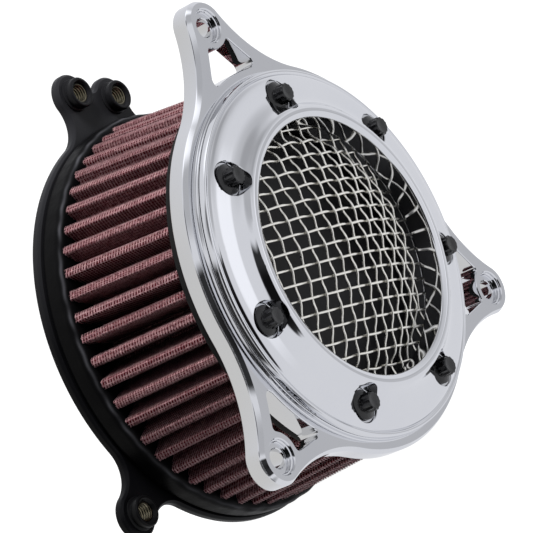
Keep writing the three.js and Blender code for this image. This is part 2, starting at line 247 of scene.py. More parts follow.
def piece(name, parts, finish, slot, *nodes, sharp=35.0, uv=None):
    """A closed piece from (points, faces) parts drawn in millimetres standing up: the height
    becomes -Y and the plan's y becomes Z. Seams are welded and faces turned outward. An
    edge that bends more than the sharp angle, in degrees, stays crisp."""
    mesh = bpy.data.meshes.new(name)
    points, faces, start = [], [], 0
    for part_points, part_faces in parts:
        points.append(part_points)
        faces += (part_faces + start).tolist()
        start += len(part_points)
    local = np.concatenate(points)
    placed = np.stack([local[:, 0], -local[:, 2], local[:, 1]], axis=1) * MM
    mesh.from_pydata(placed.tolist(), [], faces)
    if uv is not None:
        layer = mesh.uv_layers.new(name=MAP)
        corner = np.zeros(len(mesh.loops), np.int32)
        mesh.loops.foreach_get("vertex_index", corner)
        layer.data.foreach_set("uv", uv[corner].astype(np.float32).ravel())
    welded = bmesh.new()
    welded.from_mesh(mesh)
    bmesh.ops.remove_doubles(welded, verts=welded.verts, dist=2e-6)
    bmesh.ops.dissolve_degenerate(welded, edges=welded.edges, dist=1e-7)
    bmesh.ops.recalc_face_normals(welded, faces=welded.faces)
    open_edges = sum(1 for e in welded.edges if len(e.link_faces) != 2)
    if open_edges:
        print(f"{name}: {open_edges} open edges")
    welded.to_mesh(mesh)
    welded.free()
    mesh.polygons.foreach_set("use_smooth", np.ones(len(mesh.polygons), bool))
    mesh.set_sharp_from_angle(angle=math.radians(sharp))
    mesh.materials.append(finish)
    made = bpy.data.objects.new(name, mesh)
    bpy.context.scene.collection.objects.link(made)
    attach(made, "root")
    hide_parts(*nodes)
    return made


def maths(operation, swapped=False):
    """A method that adds one Math node, its operands the other way round when swapped."""
    def method(term, other=0.0):
        first, second = (other, term) if swapped else (term, other)
        return term.mix.node("ShaderNodeMath", {"operation": operation}, {0: first, 1: second})
    return method


class Term:
    """A value inside a material's node tree that takes part in ordinary expressions. Its
    share is its distance past the last whole number."""

    def __init__(self, mix, socket):
        self.mix, self.socket = mix, socket

    __add__ = __radd__ = maths("ADD")
    __mul__ = __rmul__ = maths("MULTIPLY")
    __sub__, __rsub__ = maths("SUBTRACT"), maths("SUBTRACT", swapped=True)
    __truediv__, __pow__, __gt__ = maths("DIVIDE"), maths("POWER"), maths("GREATER_THAN")
    __abs__, share = maths("ABSOLUTE"), maths("FRACT")
    most, least = maths("MAXIMUM"), maths("MINIMUM")


class Finish:
    """One material: its node tree, its shader, and one way to add any node."""

    def __init__(self, name, **constants):
        self.material = bpy.data.materials.new(name)
        self.material.use_nodes = True
        self.tree = self.material.node_tree
        self.shader = self.tree.nodes["Principled BSDF"]
        for socket, value in constants.items():
            self.shader.inputs[socket.replace("_", " ")].default_value = value

    def join(self, value, socket):
        if isinstance(value, Term):
            self.tree.links.new(value.socket, socket)
        else:
            socket.default_value = value

    def node(self, kind, settings=None, sockets=None, output=0):
        made = self.tree.nodes.new(kind)
        for key, value in (settings or {}).items():
            setattr(made, key, value)
        for key, value in (sockets or {}).items():
            self.join(value, made.inputs[key])
        return Term(self, made.outputs[output])

    def place(self):
        return self.node("ShaderNodeTexCoord", output=3)

    def part(self, vector, axis):
        """One axis of a vector, as a value."""
        split = self.node("ShaderNodeSeparateXYZ", {}, {0: vector})
        return Term(self, split.socket.node.outputs[axis])

    def mapped(self, axis):
        """One axis of the piece's own map."""
        return self.part(self.node("ShaderNodeUVMap", {"uv_map": MAP}), axis)

    def noise(self, scale, detail):
        """A cloud of that many lumps to the metre."""
        return self.node("ShaderNodeTexNoise", {}, {
            "Vector": self.place(), "Scale": scale, "Detail": detail})

    def blend(self, factor, first, second):
        made = self.node("ShaderNodeMix", {"data_type": "RGBA"}, {0: factor}, output=2)
        node = made.socket.node
        self.join(first, node.inputs[6])
        self.join(second, node.inputs[7])
        return made

    def bump(self, height, strength, distance):
        return self.node("ShaderNodeBump", {}, {
            "Height": height, "Strength": strength, "Distance": distance})

    def give(self, **sockets):
        for socket, value in sockets.items():
            self.join(value, self.shader.inputs[socket.replace("_", " ")])
        return self.material


PAINTED_LIGHT_FROM, PAINTED_LIGHT_RATE = 0.02, 14.0


def powder_coat(name, dark, light, roughness):
    """Satin black powder coat: a fine pebble over a slow change in shade, with painted light
    that turns it lighter at an even rate above a given height, lit at the top and shaded below."""
    mix = Finish(name, Specular_IOR_Level=0.10)
    pebble = mix.noise(1500.0, 2.0)
    cloud = mix.noise(45.0, 3.0)
    # Painted light: the colour turns lighter with height, as if lit from above.
    painted_light = ((mix.part(mix.place(), 2) - PAINTED_LIGHT_FROM) * PAINTED_LIGHT_RATE).most(0.0).least(1.0)
    colour = mix.blend(painted_light * (0.7 + 0.3 * cloud), (*dark, 1), (*light, 1))
    return mix.give(Base_Color=colour, Roughness=roughness + 0.12 * cloud,
                    Normal=mix.bump(pebble, 0.12, 0.0003))


plate_black = powder_coat("plate powder coat", (0.0025, 0.0025, 0.003), (0.016, 0.016, 0.018),
                          0.32)
seat_black = powder_coat("seat black", (0.003, 0.003, 0.0033), (0.008, 0.008, 0.009), 0.22)

seat_centres = {
    "top_left": polar(LOBE_REACH, 90), "lower_left": polar(LOBE_REACH, 210),
    "lower_right": polar(LOBE_REACH, 330),
    "top_right": polar(SECOND_SEAT_REACH, SECOND_SEAT_ANGLE)}

EDGE_ROUND, REAR_BREAK = 1.0, 0.6
plate_loop = two_seat_loop()
plate_front = offset_loop(plate_loop, -EDGE_ROUND)
lip_angles = np.radians(np.linspace(180, 90, 12))
lip_round = np.stack([PORT_R + PORT_LIP_ROUND + PORT_LIP_ROUND * np.cos(lip_angles),
                      PORT_LIP_TOP - PORT_LIP_ROUND + PORT_LIP_ROUND * np.sin(lip_angles)], axis=1)
LIP_FOOT_R = PORT_R + PORT_LIP_ROUND + 5
port_profile = np.concatenate([
    [[PORT_R + 0.4, 0], [PORT_R, 0.4]], lip_round,
    [[LIP_FOOT_R - 2, PORT_LIP_TOP], [LIP_FOOT_R, PORT_LIP_TOP - 2], [LIP_FOOT_R, PLATE_T + 0.2],
     [LIP_FOOT_R + 0.2, PLATE_T]]])
spigot_profile = [[SPIGOT_R - SPIGOT_WALL - 0.6, PLATE_T], [SPIGOT_R - SPIGOT_WALL, PLATE_T + 0.6],
                  [SPIGOT_R - SPIGOT_WALL, SPIGOT_TOP - 0.5],
                  [SPIGOT_R - SPIGOT_WALL + 0.5, SPIGOT_TOP], [SPIGOT_R - 1, SPIGOT_TOP],
                  [SPIGOT_R, SPIGOT_TOP - 1], [SPIGOT_R, PLATE_T]]
SEAL_IN, SEAL_OUT, SEAL_DEPTH = 28.9, 32.3, 1.9
seal_groove = [[SEAL_IN, 0], [SEAL_IN, SEAL_DEPTH], [SEAL_OUT, SEAL_DEPTH], [SEAL_OUT, 0]]
THROTTLE_SINK, THROTTLE_BREAK = 1.6, 0.3
throttle_profile = [
    [THROTTLE_FACE_R + THROTTLE_BREAK, PLATE_T], [THROTTLE_FACE_R, PLATE_T - THROTTLE_BREAK],
    [THROTTLE_FACE_R, PLATE_T - THROTTLE_SINK], [THROTTLE_HOLE_R, PLATE_T - THROTTLE_SINK],
    [THROTTLE_HOLE_R, 0]]


def circles_of(profile, end, segments=128):
    """The plan circle at one end of a turned profile, so that a flat face meets it."""
    return circle((0, 0), profile[end][0], segments)


screw_centres = [polar(THROTTLE_SCREW_REACH, angle) for angle in LOBE_ANGLES]
seat_holes = [circle(c, SEAT_HOLE_R, 48) for c in seat_centres.values()]
plate_parts = [
    carried(plate_loop, soften([[-REAR_BREAK, 0], [0, REAR_BREAK], [0, PLATE_T - EDGE_ROUND],
                                [-EDGE_ROUND, PLATE_T]], 0.5, 4, closed=False)),
    turned(port_profile, closed=False), turned(spigot_profile, closed=False),
    turned(seal_groove, closed=False),
    flat([plate_front, circles_of(spigot_profile, -1)] + seat_holes, PLATE_T),
    flat([circles_of(spigot_profile, 0), circles_of(port_profile, -1)]
         + [circle(c, throttle_profile[0][0], 48) for c in screw_centres], PLATE_T),
    flat([circles_of(seal_groove, 0), circles_of(port_profile, 0)], 0),
    flat([offset_loop(plate_loop, -REAR_BREAK), circles_of(seal_groove, -1)] + seat_holes
         + [circle(c, THROTTLE_HOLE_R, 48) for c in screw_centres], 0),
]
plate_parts += [turned([[SEAT_HOLE_R, 0], [SEAT_HOLE_R, PLATE_T]], 48, c, closed=False)
                for c in seat_centres.values()]
plate_parts += [turned(throttle_profile, 48, c, closed=False) for c in screw_centres]
piece("plate_casting", plate_parts, plate_black, "satin_black_plate", "backing_plate")


# ---------------------------------------------------------------- intake seal
# A moulded rubber ring pressed into the groove behind the port, proud of the face by half
# a millimetre until the throttle body squeezes it flat.
def black_rubber(name, shade, roughness):
    """Moulded rubber: dusty bloom over black, with a soft uneven skin."""
    mix = Finish(name, Specular_IOR_Level=0.08)
    bloom = mix.noise(60.0, 4.0)
    skin = mix.noise(700.0, 3.0)
    colour = mix.blend(bloom, (shade, shade, shade, 1),
                       (shade * 2.2, shade * 2.2, shade * 2.3, 1))
    return mix.give(Base_Color=colour, Roughness=roughness + 0.2 * bloom,
                    Normal=mix.bump(skin + 3.0 * bloom, 0.15, 0.0006))


seal_rubber = black_rubber("seal rubber", 0.012, 0.45)
seal_section = soften([[29.2, -0.6], [32, -0.6], [32, 1.6], [29.2, 1.6]], 0.9, 5)
piece("port_seal", [turned(seal_section)], seal_rubber, "black_rubber", "intake_seal")


# ---------------------------------------------------------------- cover seats
# Short turned steel seats standing on the lobes, blackened, with a waist at the foot and
# a rounded rim. Each is lined with a coiled wire thread that stays bright.
SEAT_R, SEAT_TOP = 6.5, 8.9
GAP = 0.3
insert_steel = Finish("thread wire", Metallic=1.0)
insert_tarnish = insert_steel.noise(400.0, 3.0)
insert_lit_ridge = insert_steel.mapped(0)
insert_bright = insert_steel.blend(insert_tarnish, (0.62, 0.56, 0.40, 1),
                                   (0.30, 0.27, 0.19, 1))
# Painted shade: the thread's grooves are painted near-black and its ridges bright, from the ridge
# map.
insert_steel.give(
    Base_Color=insert_steel.blend(insert_lit_ridge ** 2.0, (0.006, 0.006, 0.005, 1), insert_bright),
    Roughness=0.22 + 0.2 * insert_tarnish,
    Normal=insert_steel.bump(insert_tarnish, 0.1, 0.0002))

seat_section = soften([
    [SEAT_HOLE_R, PLATE_T + 0.02], [SEAT_R + 0.6, PLATE_T + 0.02], [SEAT_R + 0.6, PLATE_T + 0.5],
    [SEAT_R - 0.45, PLATE_T + 0.9], [SEAT_R - 0.45, PLATE_T + 1.3], [SEAT_R, PLATE_T + 1.7],
    [SEAT_R, SEAT_TOP - 0.5], [SEAT_R - 0.5, SEAT_TOP], [SEAT_HOLE_R + 0.9, SEAT_TOP],
    [SEAT_HOLE_R - 0.2, SEAT_TOP - 1.3], [SEAT_HOLE_R, SEAT_TOP - 1.5]], 0.18, 3)
THREAD_PITCH, THREAD_DEPTH, THREAD_ROOT_R, THREAD_BACK_R = 1.25, 0.5, 3.85, 4.2
THREAD_LOW, THREAD_HIGH = 0.8, SEAT_TOP - 1.5


def thread_lining(centre):
    """A sleeve whose bore swells in and out as a helix: the radius follows a rounded ridge of
    the height over the pitch less the turn round the axis. Its map holds the ridge, which
    the material uses to paint shade into the grooves."""
    turn = np.linspace(0, 2 * math.pi, 49)[:-1]
    height = np.linspace(THREAD_LOW, THREAD_HIGH, 90)[:, None]
    ridge = np.abs(np.cos(math.pi * (height / THREAD_PITCH - turn / (2 * math.pi)))) ** 1.5
    radius = THREAD_ROOT_R - THREAD_DEPTH * ridge
    bore = around(radius, turn, height, centre)
    back = around(THREAD_BACK_R, turn, np.array([[THREAD_HIGH], [THREAD_LOW]]), centre)
    lit = np.concatenate([ridge.ravel(), np.zeros(2 * len(turn))])
    return grid(np.concatenate([bore, back]), True, True), np.stack([lit, lit], axis=1)


for place, centre in seat_centres.items():
    piece(f"seat_{place}", [turned(seat_section, 64, centre)], seat_black, "black_steel",
          f"cover_standoff_{place}")
    lining, lining_map = thread_lining(centre)
    piece(f"thread_{place}", [lining], insert_steel.material, "thread_steel",
          f"thread_insert_{place}", sharp=60, uv=lining_map)


# ---------------------------------------------------------------- filter foot ring
# The soft moulded foot of the element. The pleats are cast into it, so its front edge
# heaves a little between one pleat and the next.
BASE_R, BASE_TOP = 86.4, 14.9
PLEATS = 56
element_rubber = black_rubber("element rubber", 0.004, 0.36)


def foot_ring():
    """A turned ring whose section breathes: radius and height near its front edge rise and
    fall once a pleat, with a slow uneven swell on top. Its map is a bell curve of the
    distance from the front corner, lumpy along the turn: a painted highlight on the front edge."""
    base_in = SPIGOT_R + 0.5
    section = soften([
        [base_in, PLATE_T + GAP], [BASE_R - 1.0, PLATE_T + GAP], [BASE_R, PLATE_T + 1.6],
        [BASE_R, BASE_TOP - 2.6], [BASE_R - 0.9, BASE_TOP - 0.5], [BASE_R - 2.6, BASE_TOP],
        [72.0, BASE_TOP], [base_in, BASE_TOP]], 1.0, 5)
    turn = np.linspace(0, 2 * math.pi, PLEATS * 12 + 1)[:-1]
    radius, height = section[:, :1] + 0 * turn, section[:, 1:] + 0 * turn
    share = np.clip((height - 9.5) / 5.0, 0, 1) * np.clip((radius - 70) / 12, 0, 1)
    pleat = np.cos(PLEATS * turn)
    swell = (np.sin(17 * turn + 1.0) + np.sin(29 * turn + 2.2) + np.sin(43 * turn)) / 3
    radius = radius + share * (0.15 * pleat + 0.30 * swell)
    height = height + share * (0.30 * swell - 0.12 * pleat)
    points = around(radius, turn, height)
    away = np.hypot(section[:, :1] - (BASE_R - 0.9), section[:, 1:] - (BASE_TOP - 1.0))
    painted_highlight = np.exp(-(away / 0.6) ** 2) * np.clip(0.55 + 0.12 * pleat + 0.5 * swell, 0, 1)
    return grid(points, True, True), np.repeat(painted_highlight.reshape(-1, 1), 2, axis=1)


foot_part, foot_highlight_map = foot_ring()
foot_rubber = Finish("foot rubber", Specular_IOR_Level=0.05)
foot_skin = foot_rubber.noise(300.0, 4.0)
# Painted highlight: the front edge is blended towards grey along the map.
foot_rubber.give(
    Base_Color=foot_rubber.blend(foot_rubber.mapped(0), (0.002, 0.002, 0.0022, 1),
                                 (0.042, 0.042, 0.047, 1)),
    Roughness=0.34 + 0.2 * foot_skin, Normal=foot_rubber.bump(foot_skin, 0.3, 0.0006))
piece("foot_ring", [foot_part], foot_rubber.material, "black_rubber", "filter_base_ring",
      sharp=60, uv=foot_highlight_map)


# ---------------------------------------------------------------- pleats
# Oiled red cotton gauze folded into deep pleats between two wire cloths. The folds are
# rounded, a little uneven, and draw in towards the front.
CREST_R, VALLEY_R, TAPER = 83.6, 67.0, 0.945
HALF_CREST, HALF_VALLEY, FOLD_ROUND, FLANK_LEAST = 1.35, 0.9, 0.95, 4.0
PLEAT_LOW, PLEAT_HIGH = 13.6, 68.6
DRAW_START, DRAW_END = 15.2, 67.1
MEDIA_T = 1.3
rng = np.random.default_rng(7)
pleat_lean = rng.normal(0, 0.28, PLEATS)
pleat_rise = rng.normal(0, 0.22, PLEATS)


def fold_path(offset):
    """The zigzag in plan, moved outward by an offset: crest and valley flats joined by
    straight flanks cut in three, with every corner rounded and each fold a little out of
    true."""
    corners = []
    for k in range(PLEATS):
        middle = 360 / PLEATS * k + math.degrees(pleat_lean[k] / CREST_R)
        valley = 360 / PLEATS * (k + 0.5) + math.degrees(pleat_lean[k - 1] * 0.5 / VALLEY_R)
        crest_r = CREST_R + pleat_rise[k] + offset
        half_crest = math.degrees((HALF_CREST + offset) / CREST_R)
        half_valley = math.degrees((HALF_VALLEY - offset) / VALLEY_R)
        corners += [polar(crest_r, middle - half_crest), polar(crest_r, middle + half_crest),
                    polar(VALLEY_R + offset, valley - half_valley),
                    polar(VALLEY_R + offset, valley + half_valley)]
    path = soften(corners, FOLD_ROUND, 4)
    thirds = np.linspace(0, 1, 3, endpoint=False)[:, None]
    made = []
    for point, run in zip(path, np.roll(path, -1, axis=0) - path):
        flank = np.linalg.norm(run) > FLANK_LEAST
        made.append(point + run * (thirds if flank else thirds[:1]))
    return np.concatenate(made)


def raised(path, heights):
    """A plan path raised to each height and drawn in evenly from foot to front."""
    shrink = 1 - (1 - TAPER) * (heights - DRAW_START) / (DRAW_END - DRAW_START)
    return np.stack([np.column_stack([path * s, np.full(len(path), h)])
                     for s, h in zip(shrink, heights)])


def weave_uv(points):
    """Distance run along each row and the height of each point, in millimetres."""
    run = np.linalg.norm(np.diff(points[0], axis=0), axis=1)
    along = np.concatenate([[0], np.cumsum(run)])
    return np.stack([np.broadcast_to(along, points.shape[:2]), points[..., 2]], axis=-1)


def folded_sheet(offset, thickness, heights):
    """A folded sheet with a front and a back: two grids joined along their ends."""
    outer = raised(fold_path(offset), heights)
    inner = raised(fold_path(offset - thickness), heights[::-1])
    points = np.concatenate([outer, inner])
    uv = np.concatenate([weave_uv(outer), weave_uv(inner)]).reshape(-1, 2)
    return grid(points, True, True), uv


def cloth_weave(mix, pitch_u, pitch_v, width_u, width_v, slant=0.0):
    """Two masks, one for each way of a plain weave: a rounded ridge round each thread's
    centre line, from the distance to it. A slant leans the second way's threads over."""
    u, v = mix.mapped(0), mix.mapped(1)
    sway = mix.noise(900.0, 1.0) * 0.30 - 0.15
    across = abs((u / pitch_u + sway).share() - 0.5) * pitch_u
    upward = abs((v / pitch_v + slant * u + sway).share() - 0.5) * pitch_v
    ridge_u = (1.0 - (across / (width_u / 2)) ** 2.0).most(0.0)
    ridge_v = (1.0 - (upward / (width_v / 2)) ** 2.0).most(0.0)
    return ridge_u, ridge_v


cotton = Finish("oiled cotton", Specular_IOR_Level=0.08)
cotton_u, cotton_v = cloth_weave(cotton, 0.65, 0.65, 0.5, 0.5)
cotton_cloud = cotton.noise(120.0, 4.0)
cotton_thread = cotton_u.most(cotton_v)
cotton_shade = cotton.blend(cotton_cloud, (0.075, 0.0030, 0.007, 1), (0.17, 0.006, 0.015, 1))
cotton.give(
    Base_Color=cotton.blend(cotton_thread, (0.008, 0.001, 0.002, 1), cotton_shade),
    Roughness=0.75 - 0.2 * cotton_cloud,
    Normal=cotton.bump(cotton_thread + 0.4 * cotton_cloud, 0.6, 0.0004))

pleat_heights = np.linspace(PLEAT_LOW, PLEAT_HIGH, 14)
pleat_part, pleat_uv = folded_sheet(0, MEDIA_T, pleat_heights)
piece("pleated_cotton", [pleat_part], cotton.material, "red_cotton", "filter_pleats",
      sharp=70, uv=pleat_uv)


# ---------------------------------------------------------------- wire cloth
# Fine aluminium wire cloth. The outer one lies on the cotton and is folded with it, and the
# red cotton shows between its wires; the inner one is a round sleeve inside the folds.
def wire_cloth(name, pitch_u, pitch_v, width_u, width_v, bright, dull):
    """Open wire cloth: rounded wires from the weave masks, and nothing between them. Each
    way rises and falls by a sine of the distance run, so that they pass over and under."""
    mix = Finish(name, Metallic=0.2, Specular_IOR_Level=0.2)
    wire_u, wire_v = cloth_weave(mix, pitch_u, pitch_v, width_u, width_v, 0.22)
    over = mix.node("ShaderNodeMath", {"operation": "SINE"}, {
        0: (mix.mapped(0) / pitch_u + mix.mapped(1) / pitch_v) * math.pi})
    height = (wire_u * (1.0 + 0.5 * over)).most(wire_v * (1.0 - 0.5 * over))
    patch = (mix.noise(900.0, 2.0) * 2.2 - 0.6).most(0.0).least(1.0)
    return mix.give(Base_Color=mix.blend(patch, (*dull, 1), (*bright, 1)),
                    Roughness=0.30 + 0.25 * patch, Alpha=wire_u.most(wire_v) > 0.05,
                    Normal=mix.bump(height, 0.8, 0.0003))


# The outer cloth's pink tint is a painted reflection of the red cotton under it.
outer_cloth = wire_cloth("outer wire cloth", 1.60, 1.38, 0.20, 0.34, (0.58, 0.35, 0.36),
                         (0.12, 0.035, 0.045))
inner_cloth = wire_cloth("inner wire cloth", 3.0, 3.0, 0.6, 0.6, (0.3, 0.29, 0.29),
                         (0.15, 0.14, 0.14))
cloth_part, cloth_uv = folded_sheet(0.55, 0.2, pleat_heights)
piece("outer_wire_cloth", [cloth_part], outer_cloth, "wire_gauze", "filter_outer_gauze",
      sharp=70, uv=cloth_uv)

SLEEVE_R, SLEEVE_T = VALLEY_R - 1.6 - 0.6, 0.5
inner_rows = [raised(circle((0, 0), r, 180), h)
              for r, h in ((SLEEVE_R, pleat_heights), (SLEEVE_R - SLEEVE_T, pleat_heights[::-1]))]
inner_uv = np.concatenate([weave_uv(rows) for rows in inner_rows]).reshape(-1, 2)
piece("inner_wire_cloth", [grid(np.concatenate(inner_rows), True, True)], inner_cloth,
      "wire_gauze", "filter_inner_gauze", sharp=70, uv=inner_uv)


# ---------------------------------------------------------------- front ring and cap
# The element's front end: a moulded rubber ring round the pleats and a closed, slightly
# crowned cap inside it.
ELEMENT_TOP, FRONT_RING_T, CAP_R = 71.2, 3.8, 57.6
front_r = CREST_R * TAPER + 1.4
front_low = ELEMENT_TOP - FRONT_RING_T
front_section = soften([[CAP_R + GAP, front_low], [front_r, front_low], [front_r, ELEMENT_TOP],
                        [CAP_R + GAP, ELEMENT_TOP]], 0.9, 5)
piece("front_ring", [turned(front_section, 224)], element_rubber, "black_rubber",
      "filter_front_ring")

cap_satin = Finish("cap satin", Specular_IOR_Level=0.22)
cap_grain = cap_satin.noise(500.0, 2.0)
cap_satin.give(
    Base_Color=cap_satin.blend(cap_grain, (0.004, 0.0035, 0.004, 1), (0.008, 0.0075, 0.009, 1)),
    Roughness=0.28 + 0.12 * cap_grain, Normal=cap_satin.bump(cap_grain, 0.1, 0.0002))
cap_reach = np.linspace(0, 1, 24)
CAP_TOP, CAP_CROWN, CAP_T = 71.0, 2.2, 2.6
cap_top = np.stack([CAP_R * cap_reach, CAP_TOP - CAP_CROWN * cap_reach ** 2], axis=1)
cap_under = cap_top[::-1] - [0, CAP_T]
piece("end_cap", [turned(np.concatenate([cap_top, cap_under]), closed=False)],
      cap_satin.material, "black_rubber", "filter_end_cap")


# ---------------------------------------------------------------- faceplate
# A machined and chromed aluminium plate with three tapering lobes. Each lobe has a
# counterbored screw hole and a window, and a raised step in the middle seats the ring.
FACE_R, FACE_TIP_R, FACE_WAIST_R = 82.6, 11.0, 60.0
FACE_BACK, FACE_TOP = 71.6, 80.9
STEP_R, STEP_TOP = 78.1, 82.7
SCREEN_SEAT_R, SCREEN_SEAT, FACE_BORE_R = 62.0, 80.0, 58.5
COUNTERBORE_R, SCREW_HOLE_R, SCREW_SEAT = 7.1, 4.0, 78.4
WINDOW_INNER_R, WINDOW_RIM_R = 81.5, 10.0


def curve(start, pull, end, count=8):
    """A quadratic curve between two points, drawn towards a third."""
    t = np.linspace(0, 1, count)[:, None]
    start, pull, end = map(np.asarray, (start, pull, end))
    return (1 - t) ** 2 * start + 2 * t * (1 - t) * pull + t ** 2 * end


def window_loop():
    """The window of the top lobe: an arc round the plate's centre below, an arc round the
    screw above, and two straight sides, with rounded corners."""
    floor = math.degrees(math.atan2(81, 12.6))
    rim = math.degrees(math.atan2(LOBE_REACH - 95.2 + 0.4, 7.4 - 1.9))
    right_base, right_top = (14.6, 84.0), (8.3, 93.8)
    left = lambda p: (-p[0], p[1])
    loop = np.concatenate([
        arc((0, LOBE_REACH), WINDOW_RIM_R, -rim, -180 + rim, 16),
        curve((-5.5, 94.8), (-7.4, 95.8), left(right_top)),
        np.linspace(left(right_top), left(right_base), 10),
        curve(left(right_base), (-15.2, 80.4), (-12.6, 81.0)),
        arc((0, 0), WINDOW_INNER_R, 180 - floor, floor, 24),
        curve((12.6, 81.0), (15.2, 80.4), right_base),
        np.linspace(right_base, right_top, 10),
        curve(right_top, (7.4, 95.8), (5.5, 94.8)),
    ])
    return without_repeats(loop, 0.05)


def turned_plan(loop, degrees):
    """A plan loop turned about the part's axis."""
    c, s = math.cos(math.radians(degrees)), math.sin(math.radians(degrees))
    return loop @ np.array([[c, s], [-s, c]])


chrome = Finish("bright chrome", Metallic=1.0)
chrome_haze = chrome.noise(28.0, 4.0)
chrome_ripple = chrome.noise(55.0, 1.0)
chrome.give(
    Base_Color=chrome.blend(chrome_haze, (0.70, 0.71, 0.745, 1), (0.78, 0.785, 0.80, 1)),
    Roughness=0.035 + 0.05 * chrome_haze ** 2.0,
    Normal=chrome.bump(chrome_ripple, 0.02, 0.002))

face_loop = lobed_loop(FACE_R, FACE_TIP_R, LOBE_REACH, FACE_WAIST_R, LOBE_ANGLES)
CHAMFER_IN, CHAMFER_DOWN, FACE_REAR_BREAK, WINDOW_EDGE = 1.3, 2.0, 0.5, 0.35
edge_profile = soften([[-FACE_REAR_BREAK, FACE_BACK], [0, FACE_BACK + FACE_REAR_BREAK],
                       [0, FACE_TOP - CHAMFER_DOWN], [-CHAMFER_IN, FACE_TOP]], 0.45, 4,
                      closed=False)
windows = [turned_plan(window_loop(), angle - 90) for angle in LOBE_ANGLES]
window_profile = soften([[WINDOW_EDGE, FACE_BACK], [0, FACE_BACK + WINDOW_EDGE],
                         [0, FACE_TOP - WINDOW_EDGE], [WINDOW_EDGE, FACE_TOP]], 0.2, 3,
                        closed=False)
bore_profile = [[COUNTERBORE_R + 0.4, FACE_TOP], [COUNTERBORE_R, FACE_TOP - 0.4],
                [COUNTERBORE_R, FACE_TOP - 1.1], [COUNTERBORE_R - 0.2, FACE_TOP - 1.25],
                [COUNTERBORE_R - 0.5, FACE_TOP - 1.3], [COUNTERBORE_R - 0.65, FACE_TOP - 1.5],
                [COUNTERBORE_R - 0.65, SCREW_SEAT + 0.2], [COUNTERBORE_R - 0.85, SCREW_SEAT],
                [SCREW_HOLE_R + 0.3, SCREW_SEAT], [SCREW_HOLE_R, SCREW_SEAT - 0.3],
                [SCREW_HOLE_R, FACE_BACK]]
step_profile = soften([[STEP_R + 0.35, FACE_TOP], [STEP_R, FACE_TOP + 0.35],
                       [STEP_R - 0.25, STEP_TOP - 0.3], [STEP_R - 0.5, STEP_TOP],
                       [SCREEN_SEAT_R, STEP_TOP], [SCREEN_SEAT_R, SCREEN_SEAT],
                       [FACE_BORE_R + 0.5, SCREEN_SEAT], [FACE_BORE_R, SCREEN_SEAT - 0.5],
                       [FACE_BORE_R, FACE_BACK]], 0.18, 3, closed=False)
ROUND = 256
lobe_centres = [polar(LOBE_REACH, angle) for angle in LOBE_ANGLES]
face_parts = [carried(face_loop, edge_profile), turned(step_profile, ROUND, closed=False)]
face_parts += [carried(loop, window_profile) for loop in windows]
face_parts += [turned(bore_profile, 64, c, closed=False) for c in lobe_centres]
face_parts += [
    flat([offset_loop(face_loop, -CHAMFER_IN), circles_of(step_profile, 0, ROUND)]
         + [offset_loop(loop, WINDOW_EDGE) for loop in windows]
         + [circle(c, bore_profile[0][0], 64) for c in lobe_centres], FACE_TOP),
    flat([offset_loop(face_loop, -FACE_REAR_BREAK), circles_of(step_profile, -1, ROUND)]
         + [offset_loop(loop, WINDOW_EDGE) for loop in windows]
         + [circle(c, SCREW_HOLE_R, 64) for c in lobe_centres], FACE_BACK)]
piece("front_plate", face_parts, chrome.material, "chrome_plate", "faceplate", sharp=28)


# ---------------------------------------------------------------- wire screen
# Crimped stainless wire woven four to the inch, pressed into a dome with a flat rim that
# the ring clamps. Each wire bends sharply at a crossing and runs straight between.
WIRE_PITCH, WIRE_R, CRIMP = 6.35, 0.56, 0.56
WEAVE_TURN, ROW_START, COLUMN_START = -14.94, -10.735, -31.58
SCREEN_REACH = 61.0
dome_reach = np.concatenate([np.arange(0, 46.6, 0.5), [48.4, 49.5, 51, 61.4]])
dome_rise = np.concatenate([
    94.7 - 4.96e-3 * dome_reach[:-4] ** 2 + 0.17e-6 * dome_reach[:-4] ** 4,
    [83.3, 82.1, 81.4, 81.35]])
fine_reach = np.linspace(0, dome_reach[-1], 1229)
BEND_STEPS = 20
bend = np.exp(-np.linspace(-2, 2, 2 * BEND_STEPS + 1) ** 2)
padded_rise = np.pad(np.interp(fine_reach, dome_reach, dome_rise), BEND_STEPS, mode="edge")
fine_rise = np.convolve(padded_rise, bend / bend.sum(), mode="valid")
fine_slope = np.gradient(fine_rise, fine_reach)


def woven_wire(offset, first, over, along, across):
    """One wire: a tube along a straight plan line at an offset, lifted onto the dome and
    swung to either side of it. The swing is a soft-cornered zigzag, a tanh of a triangle
    wave that turns at each crossing."""
    half = math.sqrt(SCREEN_REACH ** 2 - offset ** 2)
    run = np.linspace(-half, half, max(int(2 * half / 0.55), 8))
    plan = along * run[:, None] + across * offset
    reach = np.linalg.norm(plan, axis=1)
    crossing = (run - first) / WIRE_PITCH
    zigzag = 1 - 2 * np.abs((crossing - 2 * np.floor(crossing / 2)) - 1)
    swing = over * CRIMP * np.tanh(-1.9 * zigzag) / math.tanh(1.9)
    slope = np.interp(reach, fine_reach, fine_slope)
    outward = plan / np.maximum(reach, 1e-6)[:, None]
    lift = np.column_stack([-outward * slope[:, None], np.ones(len(run))])
    lift /= np.linalg.norm(lift, axis=1, keepdims=True)
    centre = np.column_stack([plan, np.interp(reach, fine_reach, fine_rise)])
    centre += lift * swing[:, None]
    tangent = np.gradient(centre, axis=0)
    tangent /= np.linalg.norm(tangent, axis=1, keepdims=True)
    side = np.cross(tangent, lift)
    side /= np.linalg.norm(side, axis=1, keepdims=True)
    up = np.cross(side, tangent)
    turn = np.linspace(0, 2 * math.pi, 9)[:-1]
    ring = (side[:, None] * np.cos(turn)[:, None] + up[:, None] * np.sin(turn)[:, None])
    body = centre[:, None] + ring * WIRE_R
    ends = [np.repeat(centre[k][None], len(turn), axis=0)[None] for k in (0, -1)]
    return grid(np.concatenate([ends[0], body, ends[1]]), close_columns=True)


